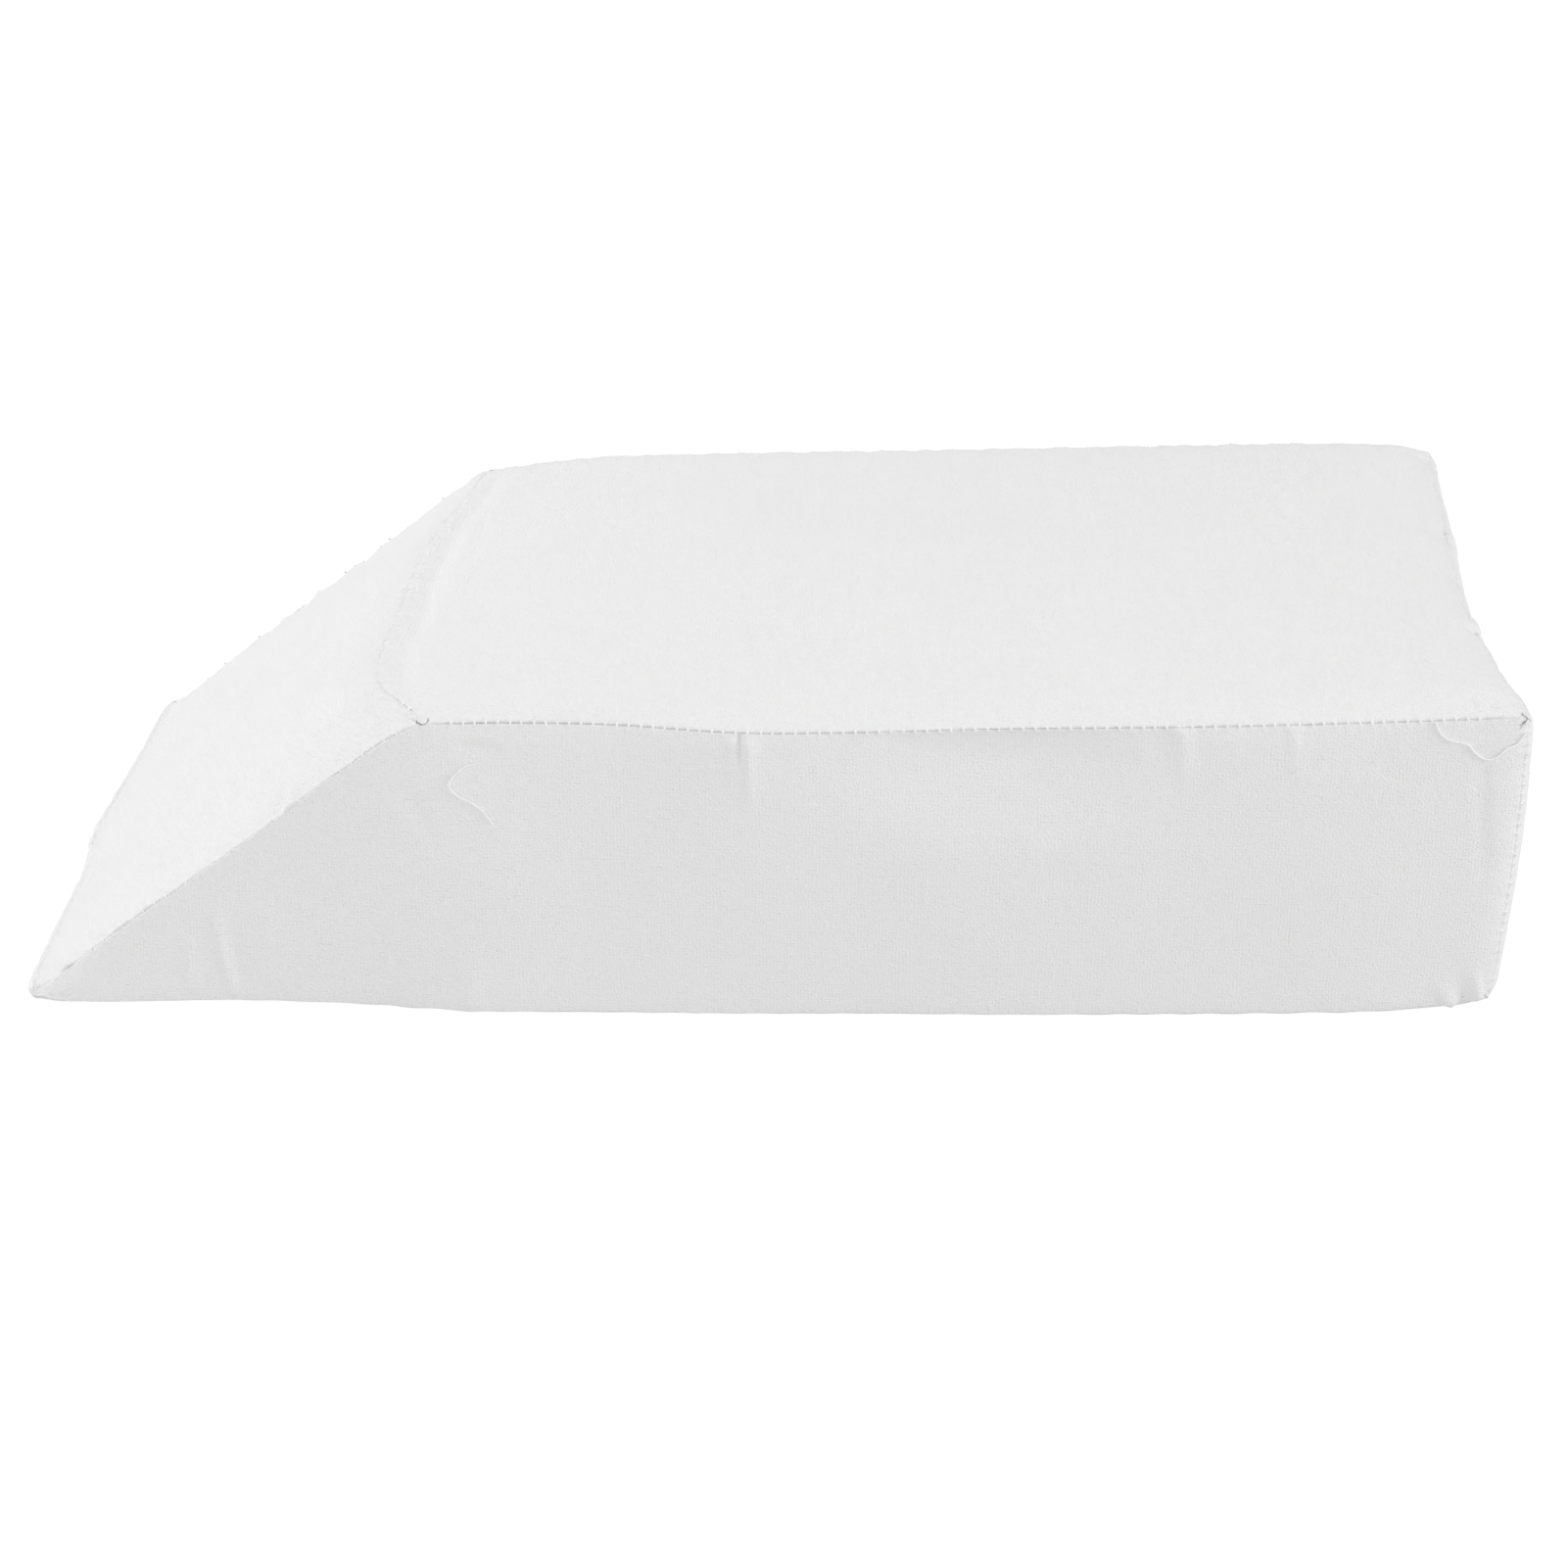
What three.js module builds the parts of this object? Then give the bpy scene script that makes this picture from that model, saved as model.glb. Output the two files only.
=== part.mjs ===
// Wedge pillow: one filled cushion, closed by plain seams, that lies on its flat underside.
// Millimetres. X runs from the thin edge to the square end, Y from the near side to the far
// side, and Z up from the surface that the pillow rests on.
import * as THREE from 'three';
import { mergeVertices } from 'three/addons/utils/BufferGeometryUtils.js';

// Size of the frame of seams, before the panels swell out of it
const seamLength = 500;
const seamWidth = 211;
const seamHeight = 112;
const crestAt = 140;

// Seams that run lengthwise, at stations from the thin edge. nearTop, farTop and foot: heights
// of the upper and the lower seams. nearOut and farOut: how far the upper seam of each long
// side stands out, and nearFoot and farFoot the same for its lower seam.
const sections = [
  { at: 0, nearTop: 3.5, farTop: 4, foot: 0.8, nearOut: 0, farOut: -1, nearFoot: 2, farFoot: -1 },
  { at: 12, nearTop: 11.5, farTop: 11, foot: 1, nearOut: 0, farOut: 0, nearFoot: 4.5, farFoot: 1 },
  { at: 31, nearTop: 27, farTop: 26, foot: 1.4, nearOut: 0, farOut: 0, nearFoot: 5, farFoot: 3 },
  { at: 72, nearTop: 58.5, farTop: 56, foot: 2, nearOut: 0, farOut: 0, nearFoot: 4, farFoot: 4 },
  { at: 111, nearTop: 90, farTop: 85, foot: 2, nearOut: 0, farOut: 0, nearFoot: 5.3, farFoot: 5 },
  { at: 130, nearTop: 104, farTop: 99, foot: 2, nearOut: 0, farOut: 0, nearFoot: 7.3, farFoot: 6 },
  { at: 140, nearTop: 108, farTop: 105, foot: 2, nearOut: 0, farOut: 0, nearFoot: 8.3, farFoot: 7 },
  { at: 165, nearTop: 109, farTop: 108.5, foot: 2, nearOut: 0, farOut: 1, nearFoot: 9.3, farFoot: 8 },
  { at: 195, nearTop: 109.2, farTop: 111, foot: 2, nearOut: 0.5, farOut: 2, nearFoot: 9, farFoot: 8 },
  { at: 250, nearTop: 108.2, farTop: 111.9, foot: 2, nearOut: 4, farOut: 4, nearFoot: 8.8, farFoot: 8 },
  { at: 285, nearTop: 108.8, farTop: 112.2, foot: 2, nearOut: 4, farOut: 5, nearFoot: 8, farFoot: 8 },
  { at: 325, nearTop: 109.8, farTop: 113.4, foot: 2, nearOut: 3, farOut: 5, nearFoot: 7.8, farFoot: 7.5 },
  { at: 390, nearTop: 111.2, farTop: 115.6, foot: 2, nearOut: 2.5, farOut: 4, nearFoot: 6.2, farFoot: 6 },
  { at: 455, nearTop: 113, farTop: 118.2, foot: 2, nearOut: 1, farOut: 2, nearFoot: 3.5, farFoot: 4 },
  { at: 485, nearTop: 114, farTop: 118.6, foot: 3, nearOut: 0.2, farOut: 0, nearFoot: 0.5, farFoot: 1 },
  { at: 500, nearTop: 114.5, farTop: 118, foot: 4.5, nearOut: 0, farOut: -3, nearFoot: -1, farFoot: -2 },
];

// Seams that run crosswise. across: share of the width from the near side. forward: how far the
// crest seam bows towards the thin edge. tip: how far the thin edge is set back. pull: how far
// the upper edge of the square end is drawn in.
const crossings = [
  { across: 0, forward: 0, tip: 0, pull: 0 },
  { across: 0.04, forward: 5, tip: 0.4, pull: 0 },
  { across: 0.08, forward: 11, tip: 1, pull: 1 },
  { across: 0.13, forward: 17.5, tip: 1.3, pull: 3.6 },
  { across: 0.18, forward: 19.8, tip: 1.7, pull: 5 },
  { across: 0.26, forward: 20.6, tip: 2.6, pull: 6.6 },
  { across: 0.38, forward: 18.8, tip: 3.6, pull: 8.6 },
  { across: 0.5, forward: 18, tip: 1.6, pull: 7.8 },
  { across: 0.6, forward: 16.5, tip: 3.4, pull: 6.4 },
  { across: 0.7, forward: 14, tip: 5.5, pull: 4.8 },
  { across: 0.8, forward: 9, tip: 7.5, pull: 4 },
  { across: 0.88, forward: 4, tip: 8.5, pull: 3.6 },
  { across: 1, forward: 0, tip: 10, pull: 2 },
];
const crestDip = 3.5;         // drop of the crest seam in the middle of the width
const crestGroove = 0.8;      // depth to which its stitches draw the cover in
const crestSettle = 110;      // length past the crest over which its bow dies out
const endSettle = 90;         // length ahead of the square end over which the draw-in grows
const lowerPull = 0.4;        // share of the draw-in that the end's lower edge keeps
const endBow = 1.5;           // how far the upright seams of the end stand out at mid-height
const endTuck = 1.2;          // how far they are tucked in at their foot

// Swell of each panel out of its seams: a roll beside them, then a flatter puff in the middle
const incline = { roll: 2.5, reach: 12, puff: 0 };
const top = { roll: 5, reach: 14, puff: 2.5 };
const side = { roll: 1.2, reach: 8, puff: 1.5 };
const end = { roll: 4, reach: 6, puff: 1 };
const nose = { roll: 3, reach: 3 };
const rollSettle = 45;        // length past the crest over which the incline's roll becomes the top's
const puffReach = 56;         // length ahead of the square end over which the top's puff dies out
const crestRound = 25;        // length below the crest over which the swell turns upright
const footReach = 9;          // distance from its seams at which the underside lies flat

// Where the upper edge of the near side hangs over the panel below it
const overhang = { from: 275, to: 390, depth: 3, lip: 8, drop: 26 };

// Rows of the surface: close beside a seam, evenly spread between
const seamRows = [0, 2.5, 6, 10.5, 16];
const openStep = 14;

const cover = new THREE.MeshStandardMaterial({ color: 0xf1f1ef, roughness: 0.95, metalness: 0 });

const mix = (a, b, part) => a + (b - a) * part;

const share = (value) => Math.min(Math.max(value, 0), 1);

const hump = (value) => Math.sin(Math.PI * share(value));

// Climbs from 0 at a seam to 1 at the reach, steep at first
const roll = (distance, reach) => 1 - (1 - share(distance / reach)) ** 2;

// The same beside several seams at once
const inside = (reach, ...distances) => distances.reduce((all, one) => all * roll(one, reach), 1);

// Slope of a table's column at a row, flat where the column turns back
function rowSlope(rows, index, key, column) {
  if (index === 0 || index === rows.length - 1) return 0;
  const [before, here, after] = rows.slice(index - 1, index + 2);
  const slopeIn = (here[column] - before[column]) / (here[key] - before[key]);
  const slopeOut = (after[column] - here[column]) / (after[key] - here[key]);
  return slopeIn * slopeOut > 0 ? (2 * slopeIn * slopeOut) / (slopeIn + slopeOut) : 0;
}

// Smooth value of a table's column between two rows, which never overshoots them
function smoothValue(rows, key, at, column) {
  let index = 0;
  while (index < rows.length - 2 && at > rows[index + 1][key]) index += 1;
  const low = rows[index];
  const high = rows[index + 1];
  const span = high[key] - low[key];
  const t = share((at - low[key]) / span);
  const rise = high[column] - low[column];
  const startSlope = rowSlope(rows, index, key, column) * span;
  const endSlope = rowSlope(rows, index + 1, key, column) * span;
  const square = 3 * rise - 2 * startSlope - endSlope;
  const cube = startSlope + endSlope - 2 * rise;
  return low[column] + startSlope * t + square * t ** 2 + cube * t ** 3;
}

const section = (at, column) => smoothValue(sections, 'at', at, column);
const crossing = (across, column) => smoothValue(crossings, 'across', across, column);

// Rows from start to finish, close together beside both
function rowsBetween(start, finish) {
  const margin = seamRows.at(-1);
  const open = finish - start - 2 * margin;
  const steps = Math.round(open / openStep);
  const middle = [];
  for (let step = 1; step < steps; step += 1) {
    middle.push(start + margin + (open * step) / steps);
  }
  const opening = seamRows.map((row) => start + row);
  const closing = seamRows.toReversed().map((row) => finish - row);
  return [...opening, ...middle, ...closing];
}

// Share of the crest seam's bow that reaches a station
function bowShare(at) {
  if (at <= crestAt) return at / crestAt;
  return (1 - share((at - crestAt) / crestSettle)) ** 2;
}

// Share of the square end's shape that reaches a station
const endShare = (at) => share(1 - (seamLength - at) / endSettle) ** 2;

// A point of the frame of seams. at: station along the length. across and up: shares of the
// width and the height. Its top and foot are the heights of the seams above and below it.
function seamPoint(at, across, up) {
  const dip = crestDip * hump(across) * bowShare(at) ** 2;
  const groove = at === crestAt ? crestGroove * Math.sqrt(hump(across)) : 0;
  const upper = mix(section(at, 'nearTop'), section(at, 'farTop'), across) - dip;
  const foot = section(at, 'foot');
  const nearEdge = -mix(section(at, 'nearFoot'), section(at, 'nearOut'), up);
  const farEdge = seamWidth + mix(section(at, 'farFoot'), section(at, 'farOut'), up);
  const drawn = crossing(across, 'pull') * mix(lowerPull, 1, up);
  const upright = endBow * hump(up) - endTuck * (1 - up) ** 2;
  const x = at + crossing(across, 'tip') * share(1 - at / crestAt)
    - crossing(across, 'forward') * bowShare(at) * up
    + (upright - drawn) * endShare(at);
  const place = new THREE.Vector3(x, mix(nearEdge, farEdge, across), mix(foot, upper - groove, up));
  return { place, upper, foot };
}

// Swell of the incline and the top, square to them
function upperSwell(at, across) {
  const near = across * seamWidth;
  const far = seamWidth - near;
  const grown = roll(Math.max(at - crestAt, 0), rollSettle);
  const reach = mix(incline.reach, top.reach, grown);
  const rolled = mix(incline.roll, top.roll, grown) * inside(reach, near, far);
  const puffed = mix(incline.puff, top.puff, grown) * hump(across) * roll(seamLength - at, puffReach);
  return (rolled + puffed) * roll(seamLength - at, top.reach);
}

// Swell of a long side, outwards
function sideSwell(at, height, upper) {
  const puffed = side.puff * hump(height / upper) * roll(at, crestAt);
  return (side.roll + puffed) * inside(side.reach, upper - height, height, at, seamLength - at);
}

// How far the near side lies back under its overhanging edge
function underOverhang(at, height, upper) {
  const along = hump((at - overhang.from) / (overhang.to - overhang.from)) ** 2;
  const below = upper - height;
  return overhang.depth * along * roll(below, overhang.lip) * share(1 - below / overhang.drop);
}

// Swell of the square end, outwards
function endSwell(across, up, height, upper, foot) {
  const near = across * seamWidth;
  const far = seamWidth - near;
  const puffed = end.puff * hump(across) * hump(up);
  return (end.roll + puffed) * inside(end.reach, near, far, upper - height, height - foot);
}

function surfacePoint(at, across, up) {
  const { place, upper, foot } = seamPoint(at, across, up);
  const near = across * seamWidth;
  const far = seamWidth - near;
  const height = place.z;
  const lean = Math.atan2(seamHeight, crestAt) * roll(Math.max(crestAt - at, 0), crestRound);
  const swell = upperSwell(at, across) * up;
  place.x -= swell * Math.sin(lean);
  place.z += swell * Math.cos(lean);
  if (across === 0) place.y -= sideSwell(at, height, upper) - underOverhang(at, height, upper);
  if (across === 1) place.y += sideSwell(at, height, upper);
  if (at === 0) place.x -= nose.roll * hump(up) * inside(nose.reach, near, far);
  if (at === seamLength) place.x += endSwell(across, up, height, upper, foot);
  if (up === 0) place.z = foot * (1 - inside(footReach, near, far, at, seamLength - at));
  return place;
}

function pillowGeometry() {
  const stations = [...rowsBetween(0, crestAt), ...rowsBetween(crestAt, seamLength).slice(1)];
  const widths = rowsBetween(0, seamWidth).map((row) => row / seamWidth);
  const heights = rowsBetween(0, seamHeight).map((row) => row / seamHeight);
  const counts = [stations.length - 1, widths.length - 1, heights.length - 1];
  const box = new THREE.BoxGeometry(...counts, ...counts);
  const places = box.getAttribute('position');
  for (let index = 0; index < places.count; index += 1) {
    const at = stations[Math.round(places.getX(index) + counts[0] / 2)];
    const across = widths[Math.round(places.getY(index) + counts[1] / 2)];
    const up = heights[Math.round(places.getZ(index) + counts[2] / 2)];
    places.setXYZ(index, ...surfacePoint(at, across, up));
  }
  box.deleteAttribute('normal');
  box.deleteAttribute('uv');
  const closed = mergeVertices(box);
  closed.computeBoundingBox();
  const middle = closed.boundingBox.getCenter(new THREE.Vector3());
  closed.translate(-middle.x, -middle.y, -closed.boundingBox.min.z);
  closed.computeVertexNormals();
  return closed;
}

const pillow = new THREE.Mesh(pillowGeometry(), cover);
pillow.name = 'pillow';

const wedgePillow = new THREE.Group();
wedgePillow.add(pillow);

export default wedgePillow;
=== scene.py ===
import math

import bpy
import numpy as np
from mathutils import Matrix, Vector, bvhtree, noise


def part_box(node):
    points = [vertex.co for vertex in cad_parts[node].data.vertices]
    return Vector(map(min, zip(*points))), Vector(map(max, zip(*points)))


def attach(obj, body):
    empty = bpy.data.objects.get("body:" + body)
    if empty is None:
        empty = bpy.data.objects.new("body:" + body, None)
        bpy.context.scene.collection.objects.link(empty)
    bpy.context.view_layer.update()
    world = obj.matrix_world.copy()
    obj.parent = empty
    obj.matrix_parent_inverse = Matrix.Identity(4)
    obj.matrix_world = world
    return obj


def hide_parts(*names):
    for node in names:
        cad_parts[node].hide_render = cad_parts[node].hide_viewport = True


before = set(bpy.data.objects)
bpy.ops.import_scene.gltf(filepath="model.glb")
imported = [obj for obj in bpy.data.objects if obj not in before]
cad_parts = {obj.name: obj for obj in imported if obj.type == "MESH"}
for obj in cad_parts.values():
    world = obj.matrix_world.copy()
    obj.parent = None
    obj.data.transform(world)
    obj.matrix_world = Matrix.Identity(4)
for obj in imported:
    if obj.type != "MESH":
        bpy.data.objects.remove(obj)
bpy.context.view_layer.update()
millimetre = 0.001
print("frame loaded")


# Camera: the photograph's view, from the near side and a little above
camera = {
    "place": (0.0269, -1.0540, 0.6218),
    "tiltDegrees": 60.6,
    "turnDegrees": 1.19,
    "lens": 75.8,
}


def deselectAll():
    bpy.ops.object.select_all(action="DESELECT")


def addCamera():
    deselectAll()
    tilt = math.radians(camera["tiltDegrees"])
    turn = math.radians(camera["turnDegrees"])
    bpy.ops.object.camera_add(location=camera["place"], rotation=(tilt, 0, turn))
    photoCamera = bpy.context.object
    photoCamera.name = "photoCamera"
    photoCamera.data.sensor_width = 36
    photoCamera.data.lens = camera["lens"]
    bpy.context.scene.camera = photoCamera


addCamera()
print("camera placed")


# Floor and light: a bright, nearly shadowless studio
studio = {
    "floorSize": 12,
    "floorGlow": 0.74,        # light of its own, which keeps it white under the pillow's shade
    "floorColour": (0.4, 0.4, 0.4, 1),
    "worldColour": (1.0, 1.0, 1.0, 1),
    "glowAbove": 0.485,
    "glowBelow": 0.58,
    "leftPlace": (-1.5, 1.0, 1.5),
    "leftSize": 1.4,
    "leftPower": 24.2,
    "rightPlace": (1.9, -0.4, 0.7),
    "rightSize": 1.2,
    "rightPower": 16,
    "frontPlace": (-0.65, -1.9, 0.85),
    "frontSize": 1.6,
    "frontPower": 14.1,
    "aim": (0, 0, 0.06),
}


def addFloor():
    deselectAll()
    bpy.ops.mesh.primitive_plane_add(size=studio["floorSize"], location=(0, 0, 0))
    floor = bpy.context.object
    floor.name = "floor"
    paint = bpy.data.materials.new("floorWhite")
    paint.use_nodes = True
    shader = paint.node_tree.nodes["Principled BSDF"]
    shader.inputs["Base Color"].default_value = studio["floorColour"]
    shader.inputs["Roughness"].default_value = 0.9
    shader.inputs["Emission Color"].default_value = (1, 1, 1, 1)
    shader.inputs["Emission Strength"].default_value = studio["floorGlow"]
    floor.data.materials.append(paint)
    # The pillow is lit from below by the world alone, and not by the floor's own glow
    floor.visible_diffuse = False
    floor.visible_shadow = False


def addSoftLight(name):
    place = Vector(studio[name + "Place"])
    aim = Vector(studio["aim"]) - place
    turned = aim.to_track_quat("-Z", "Y").to_euler()
    bpy.ops.object.light_add(type="AREA", location=place, rotation=turned)
    lamp = bpy.context.object
    lamp.name = name + "Light"
    lamp.data.size = studio[name + "Size"]
    lamp.data.energy = studio[name + "Power"]


# Light from all round, brighter from above than from below
def addWorld():
    world = bpy.context.scene.world or bpy.data.worlds.new("studioWorld")
    bpy.context.scene.world = world
    world.use_nodes = True
    tree = world.node_tree
    direction = tree.nodes.new("ShaderNodeTexCoord")
    parts = tree.nodes.new("ShaderNodeSeparateXYZ")
    rise = tree.nodes.new("ShaderNodeMapRange")
    rise.inputs["From Min"].default_value = -1
    rise.inputs["To Min"].default_value = studio["glowBelow"]
    rise.inputs["To Max"].default_value = studio["glowAbove"]
    background = tree.nodes["Background"]
    background.inputs["Color"].default_value = studio["worldColour"]
    tree.links.new(direction.outputs["Generated"], parts.inputs["Vector"])
    tree.links.new(parts.outputs["Z"], rise.inputs["Value"])
    tree.links.new(rise.outputs["Result"], background.inputs["Strength"])


addFloor()
for lightName in ("left", "right", "front"):
    addSoftLight(lightName)
addWorld()
bpy.context.scene.view_settings.view_transform = "Standard"
print("studio lit")


# Frame of seams, in millimetres: X from the thin edge to the square end, Y from the near side
# to the far side, Z up
pillow = {
    "length": 500,
    "width": 211,
    "height": 112,
    "crestAt": 140,
    "crestDip": 3.5,          # drop of the crest seam in the middle of the width
    "crestSettle": 110,       # length past the crest over which its bow dies out
    "endSettle": 90,          # length ahead of the square end over which the draw-in grows
    "lowerPull": 0.4,
    "endBow": 1.5,
    "endTuck": 1.2,
    "rollSettle": 45,
    "puffReach": 56,
    "crestRound": 25,
    "footReach": 9,
    "seamRows": (0, 0.9, 2.1, 3.8, 6.2, 9.5, 13.5),
    "openStep": 5.2,          # between the rows of stations away from the seams
    "foldStep": 1.7,          # the same where the cover is folded
    "wideStep": 7.2,          # between the rows across the width and up the height
    "acrossFoldStep": 2.6,    # the same across the width where the cover is folded
    "slack": 0.55,            # share of the full swell that the cover has before it is stuffed
}

# Swell of each panel: a roll beside its seams, then a flatter puff in its middle
swell = {
    "incline": {"roll": 2.5, "reach": 12, "puff": 0},
    "top": {"roll": 5, "reach": 14, "puff": 2.5},
    "side": {"roll": 1.2, "reach": 8, "puff": 1.5},
    "end": {"roll": 4, "reach": 6, "puff": 1},
    "nose": {"roll": 3, "reach": 3},
}

# Where the upper edge of the near side hangs over the panel below it
overhang = {
    "start": 262,             # stations between which it hangs over
    "finish": 398,
    "depth": 7.5,
    "lip": 16,                # height over which the panel falls back to that depth
    "drop": 44,               # height over which it comes forward again
}

# Seams that run lengthwise: heights of the upper and lower seams, and how far each stands out
lengthwise = {
    "at":       (0, 12, 31, 72, 111, 130, 140, 165, 195, 250, 285, 325, 390, 455, 485, 500),
    "nearTop":  (3.5, 11.5, 27, 58.5, 90, 104, 108, 109, 109.2, 108.2, 108.8, 109.8, 111.2, 113,
                 114, 114.5),
    "farTop":   (4, 11, 26, 56, 85, 99, 105, 108.5, 111, 111.9, 112.2, 113.4, 115.6, 118.2, 118.6, 118),
    "foot":     (0.8, 1, 1.4, 2, 2, 2, 2, 2, 2, 2, 2, 2, 2, 2, 3, 4.5),
    "nearOut":  (0, 0, 0, 0, 0, 0, 0, 0, 0.5, 4, 4, 3, 2.5, 1, 0.2, 0),
    "farOut":   (-1, 0, 0, 0, 0, 0, 0, 1, 2, 4, 5, 5, 4, 2, 0, -3),
    "nearFoot": (2, 4.5, 5, 4, 5.3, 7.3, 8.3, 9.3, 9, 8.8, 8, 7.8, 6.2, 3.5, 0.5, -1),
    "farFoot":  (-1, 1, 3, 4, 5, 6, 7, 8, 8, 8, 8, 7.5, 6, 4, 1, -2),
}

# Seams that run crosswise: bow of the crest seam, set-back of the thin edge, draw-in of the end
crosswise = {
    "across":  (0, 0.04, 0.08, 0.13, 0.18, 0.26, 0.38, 0.5, 0.6, 0.7, 0.8, 0.88, 1),
    "forward": (0, 5, 11, 17.5, 19.8, 20.6, 18.8, 18, 16.5, 14, 9, 4, 0),
    "tip":     (0, 0.4, 1, 1.3, 1.7, 2.6, 3.6, 1.6, 3.4, 5.5, 7.5, 8.5, 10),
    "pull":    (0, 0, 1, 3.6, 5, 6.6, 8.6, 7.8, 6.4, 4.8, 4, 3.6, 2),
}


def mix(a, b, part):
    return a + (b - a) * part


def share(value):
    return np.clip(value, 0, 1)


def hump(value):
    return np.sin(np.pi * share(value))


# Climbs from 0 at a seam to 1 at the reach, steep at first
def roll(distance, reach):
    return 1 - (1 - share(distance / reach)) ** 2


def inside(reach, *distances):
    grown = 1.0
    for distance in distances:
        grown = grown * roll(distance, reach)
    return grown


# Smooth value of a table's column, which never overshoots its rows
def smoothValue(table, key, at, column):
    rows = np.array(table[key], float)
    values = np.array(table[column], float)
    gaps = np.diff(rows)
    climbs = np.diff(values) / gaps
    slopes = np.zeros(len(rows))
    before, after = climbs[:-1], climbs[1:]
    agree = before * after > 0
    slopes[1:-1][agree] = 2 * before[agree] * after[agree] / (before[agree] + after[agree])
    index = np.clip(np.searchsorted(rows, at, side="right") - 1, 0, len(rows) - 2)
    span = gaps[index]
    t = share((at - rows[index]) / span)
    rise = values[index + 1] - values[index]
    startSlope = slopes[index] * span
    endSlope = slopes[index + 1] * span
    square = 3 * rise - 2 * startSlope - endSlope
    cube = startSlope + endSlope - 2 * rise
    return values[index] + startSlope * t + square * t ** 2 + cube * t ** 3


def along(at, column):
    return smoothValue(lengthwise, "at", at, column)


def crossing(across, column):
    return smoothValue(crosswise, "across", across, column)


# Share of the crest seam's bow that reaches a station
def bowShare(at):
    below = at / pillow["crestAt"]
    beyond = (1 - share((at - pillow["crestAt"]) / pillow["crestSettle"])) ** 2
    return np.where(at <= pillow["crestAt"], below, beyond)


# A point of the frame of seams, from its station and its shares of the width and the height
def seamPoint(at, across, up):
    bowed = bowShare(at)
    upper = mix(along(at, "nearTop"), along(at, "farTop"), across)
    upper = upper - pillow["crestDip"] * hump(across) * bowed ** 2
    foot = along(at, "foot")
    nearEdge = -mix(along(at, "nearFoot"), along(at, "nearOut"), up)
    farEdge = pillow["width"] + mix(along(at, "farFoot"), along(at, "farOut"), up)
    ended = share(1 - (pillow["length"] - at) / pillow["endSettle"]) ** 2
    drawn = crossing(across, "pull") * mix(pillow["lowerPull"], 1, up)
    upright = pillow["endBow"] * hump(up) - pillow["endTuck"] * (1 - up) ** 2
    x = at + crossing(across, "tip") * share(1 - at / pillow["crestAt"])
    x = x - crossing(across, "forward") * bowed * up + (upright - drawn) * ended
    return x, mix(nearEdge, farEdge, across), mix(foot, upper, up), upper, foot


# Swell of the incline and the top, square to them
def upperSwell(at, across):
    near = across * pillow["width"]
    far = pillow["width"] - near
    toEnd = pillow["length"] - at
    grown = roll(np.maximum(at - pillow["crestAt"], 0), pillow["rollSettle"])
    incline, top = swell["incline"], swell["top"]
    reach = mix(incline["reach"], top["reach"], grown)
    rolled = mix(incline["roll"], top["roll"], grown) * inside(reach, near, far)
    puffed = mix(incline["puff"], top["puff"], grown) * hump(across)
    puffed = puffed * roll(toEnd, pillow["puffReach"])
    return (rolled + puffed) * roll(toEnd, top["reach"])


def sideSwell(at, height, upper):
    side = swell["side"]
    puffed = side["puff"] * hump(height / upper) * roll(at, pillow["crestAt"])
    edges = inside(side["reach"], upper - height, height, at, pillow["length"] - at)
    return (side["roll"] + puffed) * edges


# How far the near side lies back under its overhanging edge
def underOverhang(at, height, upper):
    spread = hump((at - overhang["start"]) / (overhang["finish"] - overhang["start"]))
    below = upper - height
    return overhang["depth"] * spread * roll(below, overhang["lip"]) * share(1 - below / overhang["drop"])


def endSwell(across, up, height, upper, foot):
    end = swell["end"]
    near = across * pillow["width"]
    far = pillow["width"] - near
    edges = inside(end["reach"], near, far, upper - height, height - foot)
    return (end["roll"] + end["puff"] * hump(across) * hump(up)) * edges


# Points of the cover in metres, with this share of its full swell
def coverPoints(at, across, up, fullness):
    x, y, z, upper, foot = seamPoint(at, across, up)
    near = across * pillow["width"]
    far = pillow["width"] - near
    toEnd = pillow["length"] - at
    height = z.copy()
    slope = math.atan2(pillow["height"], pillow["crestAt"])
    lean = slope * roll(np.maximum(pillow["crestAt"] - at, 0), pillow["crestRound"])
    raised = upperSwell(at, across) * up * fullness
    x = x - raised * np.sin(lean)
    z = z + raised * np.cos(lean)
    sideways = sideSwell(at, height, upper) * fullness
    y = y - np.where(across == 0, sideways - underOverhang(at, height, upper), 0)
    y = y + np.where(across == 1, sideways, 0)
    nose = swell["nose"]["roll"] * hump(up) * inside(swell["nose"]["reach"], near, far)
    x = x - np.where(at == 0, nose * fullness, 0)
    ended = endSwell(across, up, height, upper, foot) * fullness
    x = x + np.where(at == pillow["length"], ended, 0)
    flat = inside(pillow["footReach"], near, far, at, toEnd)
    z = np.where(up == 0, foot * (1 - flat), z)
    return np.stack([x, y, z], axis=1) * millimetre


# Stretches where the cover is folded and its rows stand closer together, in millimetres
foldedStations = ((13, 25), (52, 72), (88, 102), (239, 250), (382, 392), (421, 429))
foldedWidths = ((13, 29), (54, 72), (98, 134))


# Rows from start to finish, close together beside both and where the cover is folded
def rowsBetween(start, finish, step, folded=(), foldStep=1):
    seamRows = np.array(pillow["seamRows"], float)
    margin = seamRows[-1]
    fine = np.linspace(start + margin, finish - margin, 4000)
    density = np.full(len(fine), 1 / step)
    for low, high in folded:
        density = np.where((fine > low) & (fine < high), 1 / foldStep, density)
    counted = np.concatenate([[0], np.cumsum((density[1:] + density[:-1]) / 2 * np.diff(fine))])
    steps = round(counted[-1])
    middle = np.interp(np.linspace(0, counted[-1], steps + 1), counted, fine)[1:-1]
    return np.concatenate([start + seamRows, middle, (finish - seamRows)[::-1]])


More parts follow.
